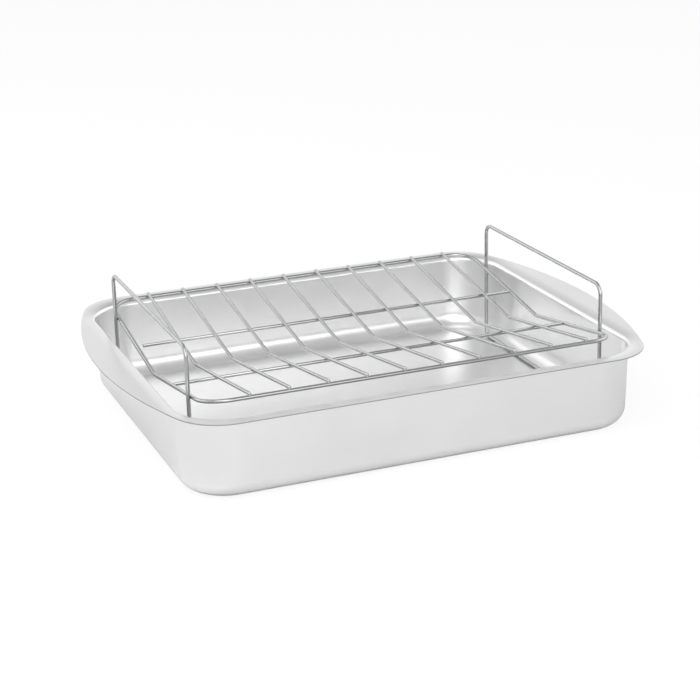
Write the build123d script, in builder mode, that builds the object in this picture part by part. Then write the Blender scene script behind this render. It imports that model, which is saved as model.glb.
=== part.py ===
from build123d import *
import os
from math import atan2, cos, sin, tan, radians

# Roasting pan pressed from one steel sheet, with a welded wire rack that lifts out of it.
# Millimetres, +Z up. X runs along the pan, from end flange to end flange, and Y across it.
# The origin is at the middle of the pan's underside.
# Wires are placed by their centrelines.

os.makedirs("parts", exist_ok=True)

# Pan: overall sizes
pan_length = 400.0
pan_width = 308.0
pan_height = 62.0
sheet = 0.9

# Pan: the pressed body, measured outside where the walls would meet the floor
base_length = 345.2
base_width = 279.2
base_corner_radius = 35.5
floor_radius = 13.0
wall_draft = 1.5

# Pan: the rim. The walls fold out to a short rise, which levels out into the lips and flanges.
fold_radius = 2.6
rise_radius = 34.0
rise_angle = 14.0
end_bow = 32.6
rim_corner_radius = 38.0

# Rack in the pan: clearances from the walls at floor level, and levels above the rim
end_clearance = 10.3
side_clearance = 11.8
frame_rise = 5.7
handle_rise = 38.6
seat_gap = 0.3

# Rack: flats round each wire, which stand for a round wire and keep the model light
wire_sides = 12

# Rack: the closed frame wire, dropped to a V at both ends
frame_wire = 3.0
frame_corner_radius = 20.0
cradle_depth = 20.0
cradle_bend_radius = 7.0

# Rack: the cross wires on the frame, set a little to the right, and the two runners under them
cross_wire = 2.6
cross_wire_count = 10
cross_wire_overhang = 1.0
end_bay = 28.5
cross_wire_shift = 3.5
runner_wire = 2.6
runner_spacing = 92.0
runner_end_gap = 3.0

# Rack: the loops that carry it at both ends
loop_wire = 3.0
leg_inset = 29.2
loop_top_radius = 8.0
loop_foot_radius = 5.0

# Welds: how far one wire sinks into the next, side by side and end on
weld_depth = 0.3
butt_weld_depth = 0.6

# Section of the sheet's outer face, worked out from the sizes above
draft = radians(wall_draft)
rise = radians(rise_angle)
floor_edge = base_length / 2 - floor_radius * (1 - sin(draft)) / cos(draft)
floor_arc_height = floor_radius * (1 - sin(draft))
fold_height = fold_radius * (cos(rise) - sin(draft))
rise_height = rise_radius * (1 - cos(rise))
wall_height = pan_height - sheet - floor_arc_height - fold_height - rise_height

# Plan of the pan: the floor inside its rounded edge, and the cavity where its walls meet the floor
floor_length = 2 * floor_edge
floor_width = base_width - base_length + floor_length
floor_corner = base_corner_radius - base_length / 2 + floor_edge
sheet_inset = sheet * (1 - sin(draft)) / cos(draft)
cavity_length = base_length - 2 * sheet_inset
cavity_width = base_width - 2 * sheet_inset
end_arc_radius = (pan_width**2 / 4 + end_bow**2) / (2 * end_bow)

# Pressed pan: floor, drafted walls, fold, rise, narrow side lips and crescent end flanges
with BuildPart() as pan:
    with BuildLine() as wall_foot:
        FilletPolyline(
            (base_length / 2, 0, 0),
            (base_length / 2, base_width / 2, 0),
            (-base_length / 2, base_width / 2, 0),
            (-base_length / 2, 0, 0),
            radius=base_corner_radius,
        )
    with BuildSketch(Plane.XZ):
        with BuildLine():
            floor_arc = JernArc((floor_edge, 0), (1, 0), floor_radius, 90 - wall_draft)
            wall = PolarLine(floor_arc @ 1, wall_height / cos(draft), direction=floor_arc % 1)
            fold = JernArc(wall @ 1, wall % 1, fold_radius, rise_angle + wall_draft - 90)
            levelling = JernArc(fold @ 1, fold % 1, rise_radius, -rise_angle)
            PolarLine(levelling @ 1, pan_length / 2, direction=levelling % 1)
            offset(amount=sheet, side=Side.LEFT)
        make_face()
    sweep(path=wall_foot.line)
    mirror(about=Plane.XZ)
    with BuildSketch(Plane.XY):
        RectangleRounded(floor_length, floor_width, floor_corner)
    extrude(amount=sheet)
    with BuildSketch(Plane.XY) as rim_outline:
        Rectangle(pan_length, pan_width)
        for side in (-1, 1):
            with Locations((side * (end_arc_radius - pan_length / 2), 0)):
                Circle(end_arc_radius, mode=Mode.INTERSECT)
        fillet(rim_outline.vertices(), radius=rim_corner_radius)
    extrude(amount=pan_height, mode=Mode.INTERSECT)
pan.part.label = "pan"
export_step(pan.part, "parts/pan.step")

# Places of the rack's wires, worked out from the pan's cavity inwards
loop_x = cavity_length / 2 - end_clearance - loop_wire / 2
half_frame_length = loop_x - (loop_wire + frame_wire) / 2 + weld_depth
half_frame_width = cavity_width / 2 - side_clearance - frame_wire / 2
frame_z = pan_height + frame_rise
cradle_z = frame_z - cradle_depth
slope = atan2(cradle_depth, half_frame_width)
cross_wire_lift = (frame_wire + cross_wire) / 2 - weld_depth
runner_drop = (cross_wire + runner_wire) / 2 - weld_depth

# Frame wire: a closed loop whose end wires follow the V
with BuildPart() as rack_frame:
    with BuildLine() as frame_path:
        FilletPolyline(
            (0, -half_frame_width, frame_z),
            (half_frame_length, -half_frame_width, frame_z),
            (half_frame_length, 0, cradle_z),
            (half_frame_length, half_frame_width, frame_z),
            (0, half_frame_width, frame_z),
            radius=[frame_corner_radius, cradle_bend_radius, frame_corner_radius],
        )
    with BuildSketch(frame_path.line ^ 0):
        RegularPolygon(frame_wire / 2, wire_sides)
    sweep()
    mirror(about=Plane.YZ)
rack_frame.part.label = "rack_frame"
export_step(rack_frame.part, "parts/rack_frame.step")

# Cross wires: V-shaped wires on top of the frame's long wires
cross_end_y = half_frame_width - cross_wire_lift * sin(slope) + cross_wire_overhang * cos(slope)
cross_end_z = frame_z + cross_wire_lift * cos(slope) + cross_wire_overhang * sin(slope)
cross_low_z = cradle_z + cross_wire_lift / cos(slope)
cross_wire_span = 2 * (half_frame_length - end_bay)
cross_wire_pitch = cross_wire_span / (cross_wire_count - 1)
for index in range(cross_wire_count):
    wire_x = index * cross_wire_pitch - cross_wire_span / 2 + cross_wire_shift
    with BuildPart() as cross_rod:
        with BuildLine() as cross_path:
            FilletPolyline(
                (wire_x, -cross_end_y, cross_end_z),
                (wire_x, 0, cross_low_z),
                (wire_x, cross_end_y, cross_end_z),
                radius=cradle_bend_radius,
            )
        with BuildSketch(cross_path.line ^ 0):
            RegularPolygon(cross_wire / 2, wire_sides)
        sweep()
    cross_rod.part.label = f"cross_wire_{index + 1}"
    export_step(cross_rod.part, f"parts/{cross_rod.part.label}.step")

# Runners: straight wires under the cross wires, butted to the frame's end wires.
# The back one stops short of the left end wire.
runner_reach = half_frame_length - frame_wire / 2 + butt_weld_depth
runner_short_reach = half_frame_length - frame_wire / 2 - runner_end_gap
runner_y = runner_spacing / 2
runner_z = cradle_z + runner_y * tan(slope) + (cross_wire_lift - runner_drop) / cos(slope)
for name, side, left_reach in (
    ("front_runner", -1, runner_reach),
    ("back_runner", 1, runner_short_reach),
):
    with BuildPart() as runner:
        with BuildSketch(Plane.YZ.offset(-left_reach)):
            with Locations((side * runner_y, runner_z)):
                RegularPolygon(runner_wire / 2, wire_sides)
        extrude(amount=left_reach + runner_reach)
    runner.part.label = name
    export_step(runner.part, f"parts/{name}.step")

# End loops: handle bar on top, two legs welded outside the frame, foot wire on the pan's floor
foot_z = sheet + seat_gap + loop_wire / 2
handle_z = pan_height + handle_rise - loop_wire / 2
leg_y = half_frame_width - leg_inset
for name, side in (("left_loop", -1), ("right_loop", 1)):
    with BuildPart() as end_loop:
        with BuildLine() as loop_path:
            FilletPolyline(
                (side * loop_x, 0, handle_z),
                (side * loop_x, leg_y, handle_z),
                (side * loop_x, leg_y, foot_z),
                (side * loop_x, 0, foot_z),
                radius=[loop_top_radius, loop_foot_radius],
            )
        with BuildSketch(loop_path.line ^ 0):
            RegularPolygon(loop_wire / 2, wire_sides)
        sweep()
        mirror(about=Plane.XZ)
    end_loop.part.label = name
    export_step(end_loop.part, f"parts/{name}.step")
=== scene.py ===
import bmesh
import bpy
from math import atan2, cos, pi, radians, sin, sqrt, tan
from mathutils import Matrix, Vector


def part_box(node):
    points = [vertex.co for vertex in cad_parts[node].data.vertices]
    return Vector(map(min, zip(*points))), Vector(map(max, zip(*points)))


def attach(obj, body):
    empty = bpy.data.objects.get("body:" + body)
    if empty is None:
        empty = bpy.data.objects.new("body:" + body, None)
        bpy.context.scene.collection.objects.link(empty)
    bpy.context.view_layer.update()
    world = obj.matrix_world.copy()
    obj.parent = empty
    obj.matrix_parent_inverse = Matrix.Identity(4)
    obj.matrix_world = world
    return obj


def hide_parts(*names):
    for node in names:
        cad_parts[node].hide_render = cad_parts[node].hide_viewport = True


bl_info = {
    "name": "Roasting pan with rack",
    "version": (1, 0, 0),
    "blender": (4, 5, 0),
    "location": "View3D > Sidebar > Roasting pan",
    "description": "Models a pressed steel roasting pan and the welded wire rack that stands in it",
    "category": "Object",
}

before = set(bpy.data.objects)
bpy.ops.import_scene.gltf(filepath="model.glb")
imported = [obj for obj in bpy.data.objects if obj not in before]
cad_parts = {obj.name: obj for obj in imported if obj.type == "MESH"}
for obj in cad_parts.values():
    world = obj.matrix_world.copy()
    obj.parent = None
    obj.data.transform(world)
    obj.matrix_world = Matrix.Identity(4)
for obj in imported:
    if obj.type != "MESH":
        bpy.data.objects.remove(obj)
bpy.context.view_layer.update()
pan_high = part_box("pan")[1]
frame_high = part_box("rack_frame")[1]
loop_low, loop_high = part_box("right_loop")
rod_low, rod_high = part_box("cross_wire_10")
next_rod_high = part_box("cross_wire_9")[1]
runner_low, runner_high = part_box("front_runner")
short_runner_low, short_runner_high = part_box("back_runner")


def linear(hex_colour):
    """The linear RGBA of an sRGB hex colour."""
    shares = [int(hex_colour[i:i + 2], 16) / 255 for i in (1, 3, 5)]
    rgb = [share / 12.92 if share <= 0.04045 else ((share + 0.055) / 1.055) ** 2.4 for share in shares]
    return (*rgb, 1.0)


def length(name, description, default):
    """A size in metres."""
    return bpy.props.FloatProperty(name=name, description=description, default=default,
                                   min=0, precision=4, subtype="DISTANCE", unit="LENGTH")


def angle(name, description, default):
    """An angle whose default is given in degrees."""
    return bpy.props.FloatProperty(name=name, description=description, default=radians(default),
                                   subtype="ANGLE", unit="ROTATION")


def colour(name, description, default):
    """A colour whose default is given as sRGB hex."""
    return bpy.props.FloatVectorProperty(name=name, description=description, default=linear(default),
                                         size=4, min=0, max=1, subtype="COLOR")


class PanSizes(bpy.types.PropertyGroup):
    """Sizes of the pressed pan"""
    half_length: length("Half length", "From the middle to the tip of an end flange", pan_high[0])
    half_width: length("Half width", "From the middle to the edge of a side lip", pan_high[1])
    height: length("Height", "Up to the top of the rim", pan_high[2])
    sheet: length("Sheet", "Thickness of the steel", 0.0009)
    base_half_length: length("Base half length", "To where an end wall would meet the floor", 0.1726)
    base_half_width: length("Base half width", "To where a side wall would meet the floor", 0.1396)
    base_corner: length("Base corner radius", "Outside radius of the body's corners", 0.0355)
    floor_radius: length("Floor radius", "Outside radius between floor and walls", 0.013)
    draft: angle("Wall draft", "How far the walls lean outwards", 1.5)
    fold_radius: length("Fold radius", "Underside radius where the walls fold out to the rim", 0.0026)
    rise: angle("Rise", "Slope of the rim just outside the fold", 14)
    rise_radius: length("Rise radius", "Underside radius over which the rise levels out", 0.034)
    end_bow: length("End bow", "How far the end flanges bow outwards", 0.0326)
    rim_corner: length("Rim corner radius", "Radius of the rim's corners", 0.038)
    edge_radius: length("Edge radius", "Rounding of the trimmed edge", 0.0002)


class RackSizes(bpy.types.PropertyGroup):
    """Sizes of the wire rack"""
    frame_wire: length("Frame wire", "Diameter of the frame's wire", 0.003)
    cross_wire: length("Cross wire", "Diameter of the cross wires and runners", 0.0026)
    loop_wire: length("Loop wire", "Diameter of the end loops' wire", 0.003)
    cradle_depth: length("Cradle depth", "How far the V drops below the frame's sides", 0.020)
    frame_corner: length("Frame corner radius", "Bend radius of the frame's corners", 0.020)
    cradle_bend: length("Cradle bend radius", "Bend radius at the bottom of the V", 0.007)
    loop_top_bend: length("Handle bend radius", "Bend radius at the handles' corners", 0.008)
    loop_foot_bend: length("Foot bend radius", "Bend radius at the feet", 0.005)
    weld_bead: length("Weld bead", "Radius of the beads where wires cross", 0.0012)


class Finishes(bpy.types.PropertyGroup):
    """Colours of the metals and the floor"""
    steel: colour("Pan steel", "Satin stainless steel sheet", "#EFEFEF")
    steel_shade: colour("Pan steel, duller patches", "Where the sheet was drawn in the press", "#E8E8E8")
    # The trimmed edge's colour is darker than a real cut: it is partly painted shade under the rim's lip
    edge: colour("Trimmed edge", "The sheet's sheared edge", "#A8A8A8")
    plating: colour("Rack plating", "Bright plating on the rack's wires", "#B8B9B9")
    plating_shade: colour("Rack plating, duller patches", "Thinner plating", "#A6A7A7")
    floor: colour("Floor", "The pale floor", "#F2F2F2")


def model(name):
    """Names the newly added object and puts its place into its mesh."""
    piece = bpy.context.object
    piece.name = name
    piece.data.name = name
    bpy.ops.object.transform_apply(location=True, rotation=True, scale=True)
    return piece


def deselect():
    """Deselects every object."""
    for each in bpy.context.selected_objects:
        each.select_set(False)


def pick(piece):
    """Makes the piece the only selected object and the active one."""
    deselect()
    piece.select_set(True)
    bpy.context.view_layer.objects.active = piece


def edit(piece):
    """Opens the piece in edit mode."""
    pick(piece)
    bpy.ops.object.mode_set(mode="EDIT")
    bpy.ops.mesh.select_mode(type="VERT")


def choose(test):
    """Selects the points of the mesh in edit mode whose place passes the test."""
    mesh = bmesh.from_edit_mesh(bpy.context.edit_object.data)
    for part in (mesh.faces, mesh.edges, mesh.verts):
        for each in part:
            each.select_set(False)
    for point in mesh.verts:
        if test(point.co):
            point.select_set(True)
    mesh.select_flush(True)
    bmesh.update_edit_mesh(bpy.context.edit_object.data)


def run(x=0.0, y=0.0, z=0.0):
    """Extrudes what is selected in a straight line."""
    bpy.ops.mesh.extrude_region_move(TRANSFORM_OT_translate={"value": (x, y, z)})


def bend(turn, centre, axis, steps):
    """Extrudes what is selected round an axis, by the right-hand rule."""
    bpy.ops.mesh.spin(steps=steps, angle=-turn, use_auto_merge=False, center=centre, axis=axis)


def merge_doubles():
    """Merges the points that repeated extrusions left on the same place."""
    bpy.ops.mesh.select_all(action="SELECT")
    bpy.ops.mesh.remove_doubles(threshold=0.000002)


def close_up():
    """Merges doubles and turns all faces outwards."""
    merge_doubles()
    bpy.ops.mesh.normals_make_consistent(inside=False)


def shape(piece, kind, **settings):
    """Adds a modifier with its settings and applies it."""
    pick(piece)
    added = piece.modifiers.new(kind.title(), kind)
    for key, value in settings.items():
        setattr(added, key, value)
    bpy.ops.object.modifier_apply(modifier=added.name)


def mirrored(piece, along_x, along_y):
    """Leaves edit mode and completes a half or a quarter of a piece by mirroring it."""
    bpy.ops.object.mode_set(mode="OBJECT")
    shape(piece, "MIRROR", use_axis=(along_x, along_y, False), merge_threshold=0.00001)
    edit(piece)
    close_up()
    bpy.ops.object.mode_set(mode="OBJECT")


def copied(piece, name, x):
    """A copy of the piece with its own mesh, moved along X."""
    pick(piece)
    bpy.ops.object.duplicate()
    bpy.context.object.location.x = x
    return model(name)


def wire_end(diameter, place, turn):
    """The round section of a wire at a place, turned by Euler angles."""
    bpy.ops.mesh.primitive_circle_add(vertices=18, radius=diameter / 2, location=place, rotation=turn)


def finished(piece, body, node, metal):
    """Gives a piece its metal, ties it to its body and hides the CAD node it stands for."""
    pick(piece)
    piece.data.materials.clear()
    piece.data.materials.append(metal)
    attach(piece, body)
    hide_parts(node)


def add_node(tree, kind, inputs=None, **settings):
    """Adds a node with its settings, and sets or links its inputs."""
    made = tree.nodes.new(kind)
    for key, value in settings.items():
        setattr(made, key, value)
    for key, value in (inputs or {}).items():
        if isinstance(value, bpy.types.NodeSocket):
            tree.links.new(value, made.inputs[key])
        else:
            made.inputs[key].default_value = value
    return made


def new_material(name):
    """A material with an empty node tree, the same one each time it is asked for."""
    made = bpy.data.materials.get(name) or bpy.data.materials.new(name)
    made.use_nodes = True
    made.node_tree.nodes.clear()
    return made, made.node_tree


def pressed_steel(finishes):
    """Stainless steel sheet, cold rolled and pressed.

    Fine rolls leave a satin surface, so the eye sees broad soft reflections with no sharp picture
    in them. Pressing leaves the sheet very slightly uneven, which makes them wander a little.
    """
    metal, tree = new_material("satin_rolled_stainless_steel")
    place = add_node(tree, "ShaderNodeTexCoord").outputs["Object"]
    # Patches 45 mm wide that the press dulled, and buckles 90 mm wide and a quarter millimetre deep
    patches = add_node(tree, "ShaderNodeTexNoise", {
        "Vector": place, "Scale": 1 / 0.045, "Detail": 3.0})
    buckle = add_node(tree, "ShaderNodeTexNoise", {
        "Vector": place, "Scale": 1 / 0.09, "Detail": 1.0})
    # The rolling grain is really under 0.1 mm wide. It is drawn 0.6 mm wide and 14 mm long to show.
    along = add_node(tree, "ShaderNodeMapping", {
        "Vector": place, "Scale": (1 / 0.014, 1 / 0.0006, 1 / 0.0006)})
    grain = add_node(tree, "ShaderNodeTexNoise", {
        "Vector": along.outputs["Vector"], "Scale": 1.0, "Detail": 2.0})
    tint = add_node(tree, "ShaderNodeMix", {
        "Factor": patches.outputs["Fac"], 6: finishes.steel_shade, 7: finishes.steel}, data_type="RGBA")
    mixed = add_node(tree, "ShaderNodeMath", {
        0: patches.outputs["Fac"], 1: grain.outputs["Fac"]}, operation="MULTIPLY")
    rough = add_node(tree, "ShaderNodeMapRange", {
        "Value": mixed.outputs["Value"], "From Min": 0.1, "From Max": 0.45, "To Min": 0.28, "To Max": 0.36})
    waves = add_node(tree, "ShaderNodeBump", {
        "Height": buckle.outputs["Fac"], "Distance": 0.00025, "Strength": 1.0})
    fine = add_node(tree, "ShaderNodeBump", {
        "Height": grain.outputs["Fac"], "Distance": 0.000006, "Strength": 0.6,
        "Normal": waves.outputs["Normal"]})
    shader = add_node(tree, "ShaderNodeBsdfPrincipled", {
        "Base Color": tint.outputs[2], "Metallic": 1.0, "Roughness": rough.outputs["Result"],
        "Normal": fine.outputs["Normal"]})
    add_node(tree, "ShaderNodeOutputMaterial", {"Surface": shader.outputs["BSDF"]})
    return metal


def sheared_edge_with_painted_shade(finishes):
    """The trimmed edge of the stainless sheet, cut by shears.

    The cut is torn and burnished, so the eye sees a thin line, duller than the faces. Its colour is also
    darker than a real cut, as painted shade for the shade under the rim's lip.
    """
    metal, tree = new_material("sheared_steel_edge_with_painted_shade")
    place = add_node(tree, "ShaderNodeTexCoord").outputs["Object"]
    # Tear marks about 1.5 mm long
    tears = add_node(tree, "ShaderNodeTexNoise", {
        "Vector": place, "Scale": 1 / 0.0015, "Detail": 2.0})
    rough = add_node(tree, "ShaderNodeMapRange", {
        "Value": tears.outputs["Fac"], "From Min": 0.3, "From Max": 0.7, "To Min": 0.38, "To Max": 0.5})
    shader = add_node(tree, "ShaderNodeBsdfPrincipled", {
        "Base Color": finishes.edge, "Metallic": 1.0, "Roughness": rough.outputs["Result"]})
    add_node(tree, "ShaderNodeOutputMaterial", {"Surface": shader.outputs["BSDF"]})
    return metal


def plated_wire(finishes):
    """Drawn mild steel wire, welded and then nickel plated.

    The plating levels the drawn surface, so the eye sees bright, narrow lines along each wire.
    They are broken slightly where the plating is thinner or the drawing die left a mark.
    """
    metal, tree = new_material("nickel_plated_steel_wire")
    place = add_node(tree, "ShaderNodeTexCoord").outputs["Object"]
    # Thinner plating in patches of 12 mm, and die marks 1.2 mm across
    patches = add_node(tree, "ShaderNodeTexNoise", {
        "Vector": place, "Scale": 1 / 0.012, "Detail": 4.0})
    marks = add_node(tree, "ShaderNodeTexNoise", {
        "Vector": place, "Scale": 1 / 0.0012, "Detail": 2.0})
    tint = add_node(tree, "ShaderNodeMix", {
        "Factor": patches.outputs["Fac"], 6: finishes.plating_shade, 7: finishes.plating}, data_type="RGBA")
    rough = add_node(tree, "ShaderNodeMapRange", {
        "Value": patches.outputs["Fac"], "From Min": 0.3, "From Max": 0.7, "To Min": 0.06, "To Max": 0.14})
    bumps = add_node(tree, "ShaderNodeBump", {
        "Height": marks.outputs["Fac"], "Distance": 0.00002, "Strength": 0.5})
    shader = add_node(tree, "ShaderNodeBsdfPrincipled", {
        "Base Color": tint.outputs[2], "Metallic": 1.0, "Roughness": rough.outputs["Result"],
        "Normal": bumps.outputs["Normal"]})
    add_node(tree, "ShaderNodeOutputMaterial", {"Surface": shader.outputs["BSDF"]})
    return metal


class BuildStage(bpy.types.Operator):
    """Adds the pale floor, the soft light and the camera"""
    bl_idname = "roasting.build_stage"
    bl_label = "Stage"

    # How much of the floor the eye sees as plain white, and how bright that white is
    plain_share = 0.85
    plain_white = 1.04
    # How bright the studio's wall is, by the sine of the height above the horizon
    wall_greys = ((0.00, 1.12), (0.22, 1.12), (0.36, 0.99), (0.50, 0.62), (0.71, 0.42), (1.00, 0.60))
    # Azimuth, height, half width in degrees and brightness of each softbox that the metal mirrors
    softboxes = (
        (-6, 27, 42, 0.90),
        (136, 34, 50, 0.70),
        (238, 49, 32, 1.90),
        (270, 23, 30, 1.50),
    )
    # The middle of each softbox is evenly bright this many degrees out, before it fades
    even_half_width = 10

    def execute(self, context):
        finishes = context.scene.roasting_finishes
        self.add_floor(finishes)
        self.light_world(context.scene)
        self.add_lamp("key_softbox", (-0.5, -0.9, 1.9), 1.6, 22.0)
        self.add_lamp("fill_softbox", (-1.4, 1.0, 1.3), 1.2, 12.0)
        self.add_camera(context.scene)
        return {"FINISHED"}

    def add_floor(self, finishes):
        """Matt white paper: an even pale ground that keeps a faint shadow for the eye.

        The metal mirrors the paper as the lamps light it, with the whole shadow.
        """
        bpy.ops.mesh.primitive_plane_add(size=12)
        floor = model("floor")
        material, tree = new_material("matt_white_paper")
        share = add_node(tree, "ShaderNodeMath", {
            0: self.seen_plainly(tree), 1: self.plain_share}, operation="MULTIPLY")
        paper = add_node(tree, "ShaderNodeBsdfDiffuse", {"Color": finishes.floor})
        white = add_node(tree, "ShaderNodeEmission", {"Color": (1, 1, 1, 1), "Strength": self.plain_white})
        both = add_node(tree, "ShaderNodeMixShader", {
            0: share.outputs[0], 1: paper.outputs[0], 2: white.outputs[0]})
        add_node(tree, "ShaderNodeOutputMaterial", {"Surface": both.outputs[0]})
        floor.data.materials.append(material)

    def seen_plainly(self, tree):
        """A socket that is 1 where the camera sees a thing directly or through something clear."""
        path = add_node(tree, "ShaderNodeLightPath").outputs
        seen = add_node(tree, "ShaderNodeMath", {
            0: path["Is Camera Ray"], 1: path["Is Transmission Ray"]}, operation="MAXIMUM")
        return seen.outputs[0]

    def light_world(self, scene):
        """White for the eye, soft even light on what is matt, and the studio for the metal."""
        world = bpy.data.worlds.new("white_studio")
        scene.world = world
        world.use_nodes = True
        tree = world.node_tree
        tree.nodes.clear()
        path = add_node(tree, "ShaderNodeLightPath").outputs
        studio = add_node(tree, "ShaderNodeBackground", {
            "Color": (1, 1, 1, 1), "Strength": self.mirrored_studio(tree)})
        soft = add_node(tree, "ShaderNodeBackground", {"Color": (1, 1, 1, 1), "Strength": 0.5})
        white = add_node(tree, "ShaderNodeBackground", {"Color": (1, 1, 1, 1), "Strength": 1.0})
        lit = add_node(tree, "ShaderNodeMixShader", {
            0: path["Is Glossy Ray"], 1: soft.outputs[0], 2: studio.outputs[0]})
        both = add_node(tree, "ShaderNodeMixShader", {
            0: self.seen_plainly(tree), 1: lit.outputs[0], 2: white.outputs[0]})
        add_node(tree, "ShaderNodeOutputWorld", {"Surface": both.outputs[0]})

    def mirrored_studio(self, tree):
        """The brightness of the studio in each direction: its wall, and the softboxes in front of it."""
        direction = add_node(tree, "ShaderNodeTexCoord").outputs["Generated"]
        heights = add_node(tree, "ShaderNodeSeparateXYZ", {"Vector": direction})
        wall = add_node(tree, "ShaderNodeValToRGB", {"Fac": heights.outputs["Z"]})
        while len(wall.color_ramp.elements) < len(self.wall_greys):
            wall.color_ramp.elements.new(0.5)
        for stop, (position, grey) in zip(wall.color_ramp.elements, self.wall_greys):
            stop.position = position
            stop.color = (grey, grey, grey, 1)
        light = wall.outputs["Color"]
        for azimuth, height, half_width, brightness in self.softboxes:
            turn, lift = radians(azimuth), radians(height)
            axis = (cos(lift) * cos(turn), cos(lift) * sin(turn), sin(lift))
            facing = add_node(tree, "ShaderNodeVectorMath", {0: direction, 1: axis}, operation="DOT_PRODUCT")
            glow = add_node(tree, "ShaderNodeMapRange", {
                "Value": facing.outputs["Value"], "From Min": cos(radians(half_width)),
                "From Max": cos(radians(self.even_half_width)), "To Min": 0.0, "To Max": brightness,
            }, interpolation_type="SMOOTHSTEP")
            light = add_node(tree, "ShaderNodeMath", {0: light, 1: glow.outputs["Result"]}).outputs["Value"]
        return light

    def add_lamp(self, name, place, size, watts):
        """A square softbox that faces the object. The metal mirrors the world's softboxes instead."""
        aim = (-Vector(place)).to_track_quat("-Z", "Y").to_euler()
        bpy.ops.object.light_add(type="AREA", location=place, rotation=aim)
        lamp = bpy.context.object
        lamp.name = name
        lamp.data.shape = "SQUARE"
        lamp.data.size = size
        lamp.data.energy = watts
        lamp.visible_glossy = False

    def add_camera(self, scene):
        """The camera, at the viewing angle and distance of the photograph."""
        right = Vector((0.92787, -0.37204, -0.02506))
        up = Vector((0.14422, 0.29606, 0.94421))
        back = Vector((-0.34387, -0.87973, 0.32837))
        turn = Matrix((right, up, back)).transposed()
        bpy.ops.object.camera_add(location=(-0.4728, -1.2029, 0.4923), rotation=turn.to_euler())
        camera = bpy.context.object
        camera.name = "photo_camera"
        camera.data.sensor_width = 36
        camera.data.lens = 91.90
        scene.camera = camera
        scene.view_settings.view_transform = "Standard"


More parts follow.
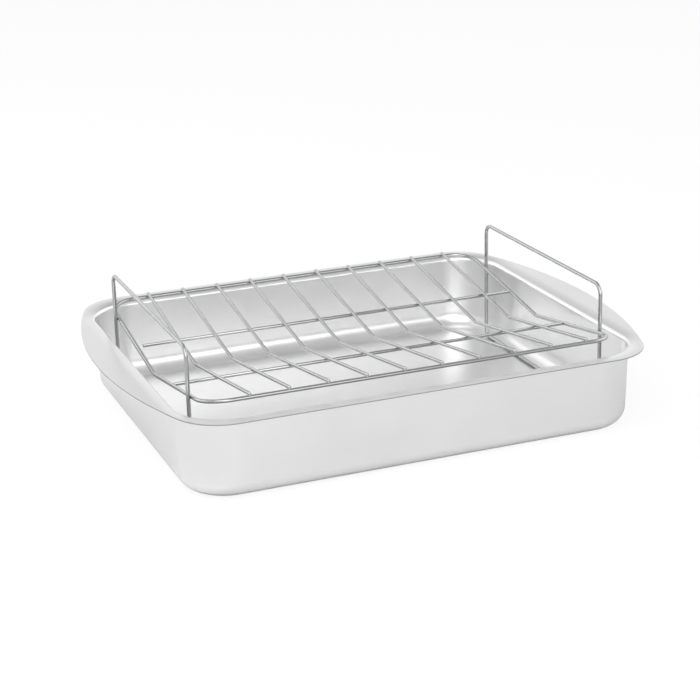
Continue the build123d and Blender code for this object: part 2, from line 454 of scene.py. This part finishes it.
class BuildPan(bpy.types.Operator):
    """Presses the pan from a flat sheet: floor, walls, rim, trimmed edge and thickness"""
    bl_idname = "roasting.build_pan"
    bl_label = "Pan"

    # Facets round each bend, and cuts that trim the rim round the bowed end and the corner
    floor_facets = 12
    fold_facets = 8
    rise_facets = 8
    corner_facets = 28
    end_cuts = 16
    corner_cuts = 21
    # How far the rim is drawn out before it is trimmed
    spare_rim = 0.05
    # Points nearer than this count as being on the same line
    near = 0.00001

    def execute(self, context):
        size = context.scene.roasting_pan
        underside = size.height - size.sheet
        floor_edge = size.base_half_length - size.floor_radius * (1 - sin(size.draft)) / cos(size.draft)
        arc_height = size.floor_radius * (1 - sin(size.draft))
        fold_height = size.fold_radius * (cos(size.rise) - sin(size.draft))
        rise_height = size.rise_radius * (1 - cos(size.rise))
        wall_height = underside - arc_height - fold_height - rise_height
        corner_x = size.base_half_length - size.base_corner
        corner_y = size.base_half_width - size.base_corner

        # The floor's quarter; its right edge becomes the end wall and rim
        bpy.ops.mesh.primitive_plane_add(size=1, location=(floor_edge / 2, corner_y / 2, 0))
        context.object.scale = (floor_edge, corner_y, 1)
        pan = model("pan_shell")
        edit(pan)
        choose(lambda p: p.x > floor_edge - 10 * self.near)
        across = (0, 1, 0)
        centre = Vector((floor_edge, 0, size.floor_radius))
        bend(size.draft - pi / 2, centre, across, self.floor_facets)
        wall_foot = centre + size.floor_radius * Vector((cos(size.draft), 0, -sin(size.draft)))
        run(x=wall_height * tan(size.draft), z=wall_height)
        wall_top = wall_foot + Vector((wall_height * tan(size.draft), 0, wall_height))
        outwards = Vector((cos(size.draft), 0, -sin(size.draft)))
        centre = wall_top + size.fold_radius * outwards
        bend(pi / 2 - size.draft - size.rise, centre, across, self.fold_facets)
        fold_end = centre + size.fold_radius * Vector((-sin(size.rise), 0, cos(size.rise)))
        centre = fold_end + size.rise_radius * Vector((sin(size.rise), 0, -cos(size.rise)))
        bend(size.rise, centre, across, self.rise_facets)
        run(x=self.spare_rim)

        # The corner, and the side wall beyond it
        choose(lambda p: abs(p.y - corner_y) < self.near and p.x > floor_edge - 10 * self.near)
        bend(pi / 2, (corner_x, corner_y, 0), (0, 0, 1), self.corner_facets)
        choose(lambda p: abs(p.x - corner_x) < self.near and p.y > corner_y + 0.001)
        run(x=-corner_x)
        merge_doubles()

        # The rest of the floor
        choose(lambda p: abs(p.z) < self.near and p.y > corner_y - self.near)
        bpy.ops.mesh.edge_face_add()

        # The rim is trimmed to its outline, cut by cut round the bowed end and the corner
        end_radius = (size.half_width ** 2 + size.end_bow ** 2) / (2 * size.end_bow)
        end_centre = size.half_length - end_radius
        rim_y = size.half_width - size.rim_corner
        rim_x = end_centre + sqrt((end_radius - size.rim_corner) ** 2 - rim_y ** 2)
        corner_turn = atan2(rim_y, rim_x - end_centre)
        cuts = []
        for step in range(self.end_cuts):
            turn = corner_turn * step / (self.end_cuts - 1)
            cuts.append((end_centre, 0, end_radius, turn))
        for step in range(1, self.corner_cuts + 1):
            turn = corner_turn + (pi / 2 - corner_turn) * step / self.corner_cuts
            cuts.append((rim_x, rim_y, size.rim_corner, turn))
        for x, y, radius, turn in cuts:
            outwards = Vector((cos(turn), sin(turn), 0))
            bpy.ops.mesh.select_all(action="SELECT")
            bpy.ops.mesh.bisect(plane_co=Vector((x, y, 0)) + radius * outwards, plane_no=outwards,
                                clear_outer=True, threshold=0.000001)
        mirrored(pan, True, True)

        # The outer face looks down and outwards before the sheet gets its thickness
        edit(pan)
        bpy.ops.mesh.select_all(action="SELECT")
        mesh = bmesh.from_edit_mesh(pan.data)
        mesh.faces.ensure_lookup_table()
        lowest = min(mesh.faces, key=lambda f: f.calc_center_median().z)
        if lowest.normal.z > 0:
            bpy.ops.mesh.flip_normals()
        bpy.ops.object.mode_set(mode="OBJECT")
        shape(pan, "SOLIDIFY", thickness=size.sheet, offset=-1, use_even_offset=True,
              use_quality_normals=True)
        shape(pan, "BEVEL", width=size.edge_radius, segments=3, limit_method="ANGLE",
              angle_limit=radians(50))
        bpy.ops.object.shade_smooth()
        shape(pan, "WEIGHTED_NORMAL", mode="FACE_AREA", weight=50, thresh=0.01)
        finished(pan, "pan", "pan", pressed_steel(context.scene.roasting_finishes))
        pan.data.materials.append(sheared_edge_with_painted_shade(context.scene.roasting_finishes))
        # The cut edge: the steep faces within the sheet's thickness at the rim. Their darker colour is
        # partly painted shade under the rim's lip.
        for face in pan.data.polygons:
            if face.center.z > underside - 0.00005 and abs(face.normal.z) < 0.8:
                face.material_index = 1
        return {"FINISHED"}


class BuildRackFrame(bpy.types.Operator):
    """Bends the rack's frame wire: a closed loop that drops to a V at both ends"""
    bl_idname = "roasting.build_rack_frame"
    bl_label = "Rack frame"

    # Facets round the corners, and round each half of the V's bend
    corner_facets = 16
    cradle_facets = 3

    def execute(self, context):
        size = context.scene.roasting_rack
        half = size.frame_wire / 2
        end_x = frame_high[0] - half
        side_y = frame_high[1] - half
        top_z = frame_high[2] - half
        slope = atan2(size.cradle_depth, side_y)
        down = Vector((0, cos(slope), -sin(slope)))
        wire_end(size.frame_wire, (0, -side_y, top_z), (0, pi / 2, 0))
        wire = model("rack_frame_wire")
        edit(wire)
        bpy.ops.mesh.select_all(action="SELECT")
        run(x=end_x - size.frame_corner)
        centre = Vector((end_x - size.frame_corner, -side_y, top_z)) + size.frame_corner * down
        bend(pi / 2, centre, (0, sin(slope), cos(slope)), self.corner_facets)
        tangent = size.cradle_bend * tan(slope)
        slope_run = side_y / cos(slope) - size.frame_corner - tangent
        run(y=slope_run * cos(slope), z=-slope_run * sin(slope))
        low = Vector((end_x, 0, top_z - size.cradle_depth))
        centre = low - tangent * down + size.cradle_bend * Vector((0, sin(slope), cos(slope)))
        bend(slope, centre, (1, 0, 0), self.cradle_facets)
        mirrored(wire, True, True)
        bpy.ops.object.shade_smooth()
        finished(wire, "rack", "rack_frame", plated_wire(context.scene.roasting_finishes))
        return {"FINISHED"}


class BuildCrossRods(bpy.types.Operator):
    """Bends one cross wire with its weld beads, and copies it along the frame"""
    bl_idname = "roasting.build_cross_rods"
    bl_label = "Cross wires"

    count = 10
    # Facets round each half of the V's bend
    cradle_facets = 3
    # The blunt end's rounded shoulder: the length of each step in wire widths, and how it narrows
    shoulder = 0.06
    shoulder_shares = (0.94, 0.8)

    def execute(self, context):
        size = context.scene.roasting_rack
        half = size.cross_wire / 2
        side_y = frame_high[1] - size.frame_wire / 2
        slope = atan2(size.cradle_depth, side_y)
        low_z = rod_low[2] + half
        end_y = rod_high[1] - half * sin(slope)
        wire_end(size.cross_wire, (0, 0, low_z), (pi / 2, 0, 0))
        rod = model("cross_rod_1")
        edit(rod)
        bpy.ops.mesh.select_all(action="SELECT")
        bend(slope, (0, 0, low_z + size.cradle_bend), (1, 0, 0), self.cradle_facets)
        start_y = size.cradle_bend * sin(slope)
        step = size.cross_wire * self.shoulder
        reach = end_y - start_y - 2 * step
        run(y=reach, z=reach * tan(slope))
        for share in self.shoulder_shares:
            run(y=step * cos(slope), z=step * sin(slope))
            bpy.ops.transform.resize(value=(share, share, share))
        bpy.ops.mesh.edge_face_add()
        mirrored(rod, False, True)

        # Weld beads, halfway between the wires' centres, on the frame and on the runners
        frame_z = frame_high[2] - size.frame_wire / 2
        lift = (low_z - (frame_z - size.cradle_depth)) * cos(slope)
        runner_y = (runner_low[1] + runner_high[1]) / 2
        runner_z = (runner_low[2] + runner_high[2]) / 2
        for side in (-1, 1):
            y = side * (side_y - lift / 2 * sin(slope))
            self.add_bead(rod, size, (0, y, frame_z + lift / 2 * cos(slope)), side * slope)
            y = side * (abs(runner_y) - half * sin(slope))
            self.add_bead(rod, size, (0, y, runner_z + half * cos(slope)), side * slope)
        pick(rod)
        bpy.ops.object.shade_smooth()

        # Copies from the second wire to the last, and then the first wire goes to its place
        pitch = rod_high[0] - next_rod_high[0]
        last_x = rod_high[0] - half
        metal = plated_wire(context.scene.roasting_finishes)
        rods = [rod]
        for index in range(2, self.count + 1):
            rods.append(copied(rod, f"cross_rod_{index}", last_x - (self.count - index) * pitch))
        pick(rod)
        rod.location.x = last_x - (self.count - 1) * pitch
        bpy.ops.object.transform_apply(location=True, rotation=True, scale=True)
        for index, each in enumerate(rods):
            finished(each, "rack", f"cross_wire_{index + 1}", metal)
        return {"FINISHED"}

    def add_bead(self, rod, size, place, turn):
        """Joins a flattened weld bead to the wire."""
        bpy.ops.mesh.primitive_uv_sphere_add(segments=14, ring_count=8, radius=size.weld_bead,
                                             location=place, rotation=(turn, 0, 0), scale=(1.0, 1.0, 0.6))
        model("bead")
        rod.select_set(True)
        bpy.context.view_layer.objects.active = rod
        bpy.ops.object.join()


class BuildRunners(bpy.types.Operator):
    """Draws the two straight runners under the cross wires"""
    bl_idname = "roasting.build_runners"
    bl_label = "Runners"

    # The blunt ends: how wide they are and how long their shoulder is, in wire widths
    end_share = 0.85
    shoulder = 0.08

    def execute(self, context):
        size = context.scene.roasting_rack
        metal = plated_wire(context.scene.roasting_finishes)
        for name, node, (low, high) in (
            ("front_runner_wire", "front_runner", (runner_low, runner_high)),
            ("back_runner_wire", "back_runner", (short_runner_low, short_runner_high)),
        ):
            middle_y = (low[1] + high[1]) / 2
            middle_z = (low[2] + high[2]) / 2
            wire_end(size.cross_wire, (low[0], middle_y, middle_z), (0, pi / 2, 0))
            wire = model(name)
            edit(wire)
            bpy.ops.mesh.select_all(action="SELECT")
            bpy.ops.transform.resize(value=(self.end_share,) * 3)
            bpy.ops.mesh.edge_face_add()
            bpy.ops.mesh.select_all(action="SELECT")
            step = size.cross_wire * self.shoulder
            run(x=step)
            bpy.ops.transform.resize(value=(1 / self.end_share,) * 3)
            run(x=high[0] - low[0] - 2 * step)
            run(x=step)
            bpy.ops.transform.resize(value=(self.end_share,) * 3)
            close_up()
            bpy.ops.object.mode_set(mode="OBJECT")
            bpy.ops.object.shade_smooth()
            finished(wire, "rack", node, metal)
        return {"FINISHED"}


class BuildEndLoops(bpy.types.Operator):
    """Bends the two end loops: handle bar, legs and foot wire"""
    bl_idname = "roasting.build_end_loops"
    bl_label = "End loops"

    # Facets round the handle's corners and the foot's
    handle_facets = 12
    foot_facets = 10

    def execute(self, context):
        size = context.scene.roasting_rack
        half = size.loop_wire / 2
        middle_x = (loop_low[0] + loop_high[0]) / 2
        leg_y = loop_high[1] - half
        handle_z = loop_high[2] - half
        foot_z = loop_low[2] + half
        wire_end(size.loop_wire, (middle_x, 0, handle_z), (pi / 2, 0, 0))
        loop = model("right_end_loop")
        edit(loop)
        bpy.ops.mesh.select_all(action="SELECT")
        run(y=leg_y - size.loop_top_bend)
        centre = (middle_x, leg_y - size.loop_top_bend, handle_z - size.loop_top_bend)
        bend(-pi / 2, centre, (1, 0, 0), self.handle_facets)
        run(z=foot_z - handle_z + size.loop_top_bend + size.loop_foot_bend)
        centre = (middle_x, leg_y - size.loop_foot_bend, foot_z + size.loop_foot_bend)
        bend(-pi / 2, centre, (1, 0, 0), self.foot_facets)
        run(y=size.loop_foot_bend - leg_y)
        mirrored(loop, False, True)
        bpy.ops.object.shade_smooth()
        other = copied(loop, "left_end_loop", -2 * middle_x)
        metal = plated_wire(context.scene.roasting_finishes)
        finished(loop, "rack", "right_loop", metal)
        finished(other, "rack", "left_loop", metal)
        return {"FINISHED"}


class RoastingPanel(bpy.types.Panel):
    """Lists the sizes, the finishes and the pieces"""
    bl_idname = "VIEW3D_PT_roasting_pan"
    bl_label = "Roasting pan with rack"
    bl_space_type = "VIEW_3D"
    bl_region_type = "UI"
    bl_category = "Roasting pan"

    def draw(self, context):
        for name in ("roasting_pan", "roasting_rack", "roasting_finishes"):
            group = getattr(context.scene, name)
            column = self.layout.column()
            for key in group.__annotations__:
                column.prop(group, key)
        for step in build_steps:
            self.layout.operator(step.bl_idname)


build_steps = (BuildStage, BuildPan, BuildRackFrame, BuildCrossRods, BuildRunners, BuildEndLoops)
groups = {"roasting_pan": PanSizes, "roasting_rack": RackSizes, "roasting_finishes": Finishes}


def register():
    """Adds the sizes, the operators and the panel to Blender."""
    for group in groups.values():
        bpy.utils.register_class(group)
    for name, group in groups.items():
        setattr(bpy.types.Scene, name, bpy.props.PointerProperty(type=group))
    for step in build_steps:
        bpy.utils.register_class(step)
    bpy.utils.register_class(RoastingPanel)


def unregister():
    """Takes them out again."""
    bpy.utils.unregister_class(RoastingPanel)
    for step in reversed(build_steps):
        bpy.utils.unregister_class(step)
    for name in groups:
        delattr(bpy.types.Scene, name)
    for group in groups.values():
        bpy.utils.unregister_class(group)


def main():
    """Builds the stage and all pieces."""
    register()
    deselect()
    bpy.ops.roasting.build_stage()
    bpy.ops.roasting.build_pan()
    bpy.ops.roasting.build_rack_frame()
    bpy.ops.roasting.build_cross_rods()
    bpy.ops.roasting.build_runners()
    bpy.ops.roasting.build_end_loops()


if __name__ == "__main__":
    main()
